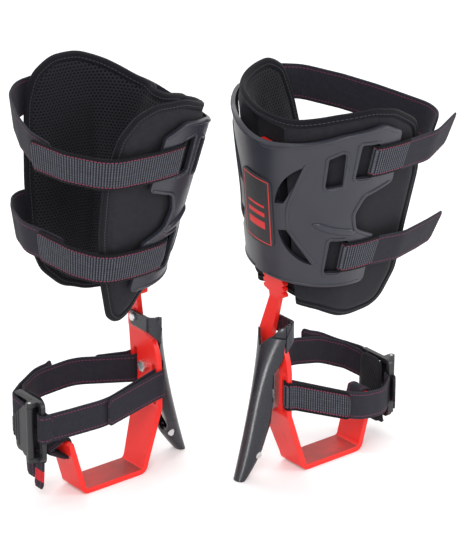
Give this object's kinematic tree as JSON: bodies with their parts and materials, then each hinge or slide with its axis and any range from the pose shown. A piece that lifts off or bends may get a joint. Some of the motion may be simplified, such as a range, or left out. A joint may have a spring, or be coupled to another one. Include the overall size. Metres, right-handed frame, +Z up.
{
  "type": "pair of tree climbing spikes",
  "caption": "Pair of tree climbing spikes: red leg irons with stirrups, guarded gaffs, padded black calf cuffs and webbing straps.",
  "frame": {"origin": "centre of the pair's bounding box, on the floor that both stirrups stand on", "axes": "+Z up, +X from the left climber to the right one, +Y towards the heels"},
  "size_m": [0.4302, 0.3074, 0.4533],
  "materials": {
    "red_coat": "red powder coat, semi-gloss",
    "spike_steel": "forged and ground steel",
    "zinc": "bright zinc plating",
    "guard_black": "smooth moulded rubbery plastic",
    "shell_black": "fine moulded grain",
    "badge_face": "inlaid panel with a red keyline",
    "sleeve_black": "black coat",
    "pad_mesh": "spacer mesh with bound edges",
    "webbing": "ribbed webbing with red stitching",
    "buckle_black": "black coat"
  },
  "bodies": {
    "frame": {"left_leg_iron": "red_coat", "left_gaff": "spike_steel", "left_gaff_bolts": "zinc", "left_gaff_nuts": "zinc", "left_guard_collar": "guard_black", "left_collar_stud": "zinc", "left_ankle_strap_front": "webbing", "left_ankle_strap_rear": "webbing", "left_buckle_frame": "buckle_black", "left_buckle_pin": "zinc", "left_buckle_pad": "pad_mesh", "left_upright_keeper": "webbing", "left_pull_tabs": "webbing", "right_leg_iron": "red_coat", "right_gaff": "spike_steel", "right_gaff_bolts": "zinc", "right_gaff_nuts": "zinc", "right_guard_collar": "guard_black", "right_collar_stud": "zinc", "right_ankle_strap_front": "webbing", "right_ankle_strap_rear": "webbing", "right_buckle_frame": "buckle_black", "right_buckle_pin": "zinc", "right_buckle_pad": "pad_mesh", "right_upright_keeper": "webbing", "right_pull_tabs": "webbing"},
    "left_cuff": {"left_cuff_shell": "shell_black", "left_badge_panel": "badge_face", "left_shank_sleeve": "sleeve_black", "left_sleeve_rivets": "zinc", "left_clamp_screws": "zinc", "left_cuff_pad": "pad_mesh", "left_upper_strap_near": "webbing", "left_upper_strap_far": "webbing", "left_lower_strap_near": "webbing", "left_lower_strap_far": "webbing"},
    "left_guard": {"left_gaff_guard": "guard_black", "left_guard_rivet": "zinc"},
    "left_lever": {"left_buckle_lever": "buckle_black"},
    "right_cuff": {"right_cuff_shell": "shell_black", "right_badge_panel": "badge_face", "right_shank_sleeve": "sleeve_black", "right_sleeve_rivets": "zinc", "right_clamp_screws": "zinc", "right_cuff_pad": "pad_mesh", "right_upper_strap_near": "webbing", "right_upper_strap_far": "webbing", "right_lower_strap_near": "webbing", "right_lower_strap_far": "webbing"},
    "right_guard": {"right_gaff_guard": "guard_black", "right_guard_rivet": "zinc"},
    "right_lever": {"right_buckle_lever": "buckle_black"}
  },
  "joints": [
    {"name": "left_cuff_height", "type": "slide", "parent": "frame", "child": "left_cuff", "axis": [0.172, -0.1371, 0.9755], "range_m": [-0.0325, 0.0175]},
    {"name": "left_guard_off", "type": "slide", "parent": "frame", "child": "left_guard", "axis": [0.3193, 0.0319, -0.9471], "range_m": [0, 0.1]},
    {"name": "left_lever_turn", "type": "hinge", "parent": "frame", "child": "left_lever", "pos_m": [-0.20685, 0.0599, 0.08398], "axis": [0, 0, 1], "range_deg": [0, 70]},
    {"name": "right_cuff_height", "type": "slide", "parent": "frame", "child": "right_cuff", "axis": [-0.172, -0.1371, 0.9755], "range_m": [-0.02, 0.03]},
    {"name": "right_guard_off", "type": "slide", "parent": "frame", "child": "right_guard", "axis": [-0.3193, 0.0319, -0.9471], "range_m": [0, 0.1]},
    {"name": "right_lever_turn", "type": "hinge", "parent": "frame", "child": "right_lever", "pos_m": [0.20105, -0.0411, 0.05851], "axis": [0, 0, -1], "range_deg": [0, 70]}
  ]
}
